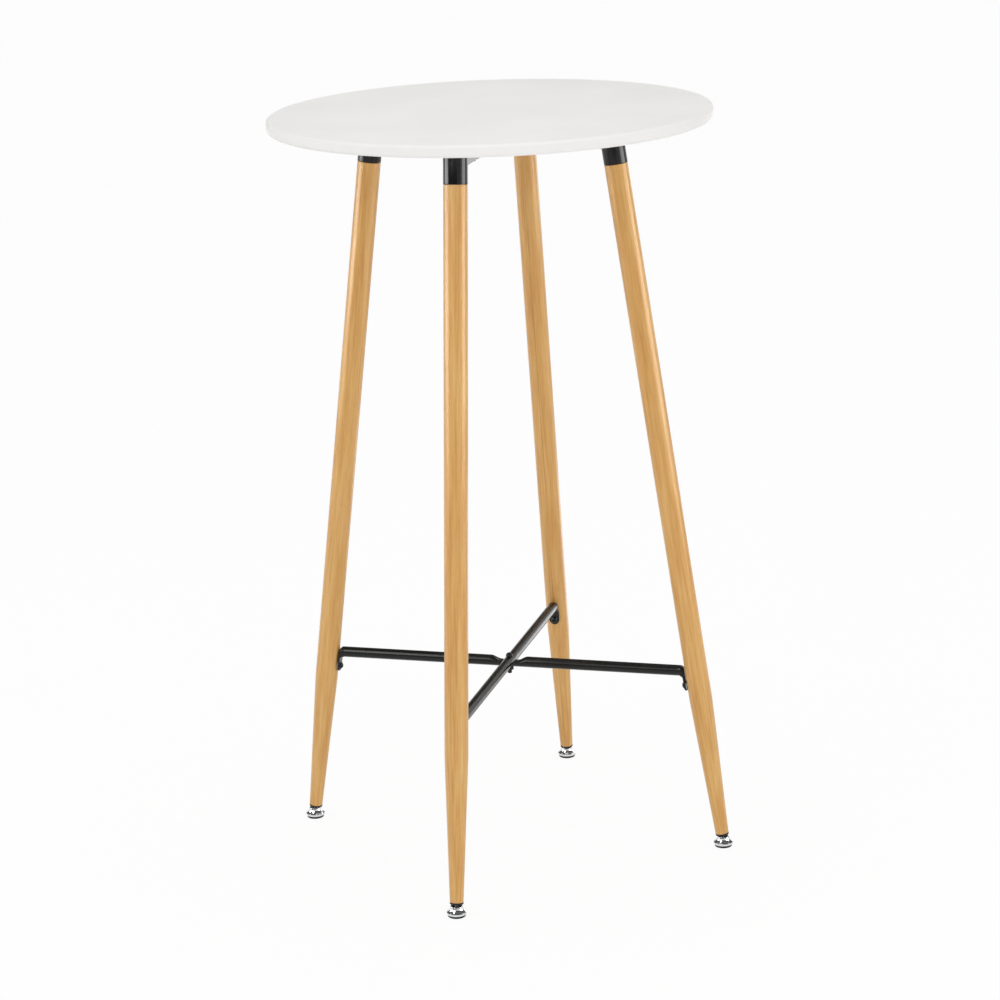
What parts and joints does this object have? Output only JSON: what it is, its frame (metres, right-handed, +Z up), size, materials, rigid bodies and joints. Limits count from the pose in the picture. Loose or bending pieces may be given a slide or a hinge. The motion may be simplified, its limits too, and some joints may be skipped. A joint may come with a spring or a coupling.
{
  "type": "bar table",
  "caption": "High round bar table with a white top on splayed wood-look tube legs, a black cross brace and levelling swivel feet",
  "frame": {"origin": "on the floor under the middle of the round top", "axes": "+Z up; the legs stand towards -Y (front), +X (right), +Y (back) and -X (left)"},
  "size_m": [0.635, 0.635, 1.04],
  "materials": {
    "white_lacquer": "satin white lacquer on fibreboard",
    "wood_film_tube": "steel tube with a beech wood-grain film under satin clear coat",
    "black_paint": "black satin powder coat",
    "black_fasteners": "black oxide steel",
    "zinc_steel": "zinc-plated steel",
    "brass_inserts": "plain turned brass",
    "bright_chrome": "polished chrome plate",
    "black_plastic": "moulded black nylon"
  },
  "bodies": {
    "table": {"table_top": "white_lacquer", "top_inserts": "brass_inserts", "frame_bolts": "zinc_steel", "frame_washers": "zinc_steel", "frame_bar": "black_paint", "frame_arm_left": "black_paint", "frame_arm_right": "black_paint", "leg_bolts": "zinc_steel", "leg_top_inserts": "zinc_steel", "brace_tube_lower": "black_paint", "brace_tube_upper": "black_paint", "brace_rivet_nuts": "zinc_steel", "brace_screws": "black_fasteners", "brace_bolt": "black_fasteners", "brace_nut": "black_fasteners", "foot_nuts": "zinc_steel", "leg_socket_front": "black_paint", "leg_front": "wood_film_tube", "foot_plug_front": "black_plastic", "leg_socket_right": "black_paint", "leg_right": "wood_film_tube", "foot_plug_right": "black_plastic", "leg_socket_back": "black_paint", "leg_back": "wood_film_tube", "foot_plug_back": "black_plastic", "leg_socket_left": "black_paint", "leg_left": "wood_film_tube", "foot_plug_left": "black_plastic"},
    "stem_front": {"foot_stem_front": "zinc_steel"},
    "base_front": {"foot_pad_front": "black_plastic", "foot_shell_front": "bright_chrome"},
    "stem_right": {"foot_stem_right": "zinc_steel"},
    "base_right": {"foot_pad_right": "black_plastic", "foot_shell_right": "bright_chrome"},
    "stem_back": {"foot_stem_back": "zinc_steel"},
    "base_back": {"foot_pad_back": "black_plastic", "foot_shell_back": "bright_chrome"},
    "stem_left": {"foot_stem_left": "zinc_steel"},
    "base_left": {"foot_pad_left": "black_plastic", "foot_shell_left": "bright_chrome"}
  },
  "joints": [
    {"name": "level_front", "type": "slide", "parent": "table", "child": "stem_front", "axis": [0, -0.135, -0.9908], "range_m": [0, 0.008]},
    {"name": "tilt_front", "type": "hinge", "parent": "stem_front", "child": "base_front", "pos_m": [0, -0.30395, 0.0077], "axis": [1, 0, 0], "range_deg": [-20, 5]},
    {"name": "level_right", "type": "slide", "parent": "table", "child": "stem_right", "axis": [0.135, 0, -0.9908], "range_m": [0, 0.008]},
    {"name": "tilt_right", "type": "hinge", "parent": "stem_right", "child": "base_right", "pos_m": [0.30395, 0, 0.0077], "axis": [0, 1, 0], "range_deg": [-20, 5]},
    {"name": "level_back", "type": "slide", "parent": "table", "child": "stem_back", "axis": [0, 0.135, -0.9908], "range_m": [0, 0.008]},
    {"name": "tilt_back", "type": "hinge", "parent": "stem_back", "child": "base_back", "pos_m": [0, 0.30395, 0.0077], "axis": [-1, 0, 0], "range_deg": [-20, 5]},
    {"name": "level_left", "type": "slide", "parent": "table", "child": "stem_left", "axis": [-0.135, 0, -0.9908], "range_m": [0, 0.008]},
    {"name": "tilt_left", "type": "hinge", "parent": "stem_left", "child": "base_left", "pos_m": [-0.30395, 0, 0.0077], "axis": [0, -1, 0], "range_deg": [-20, 5]}
  ]
}
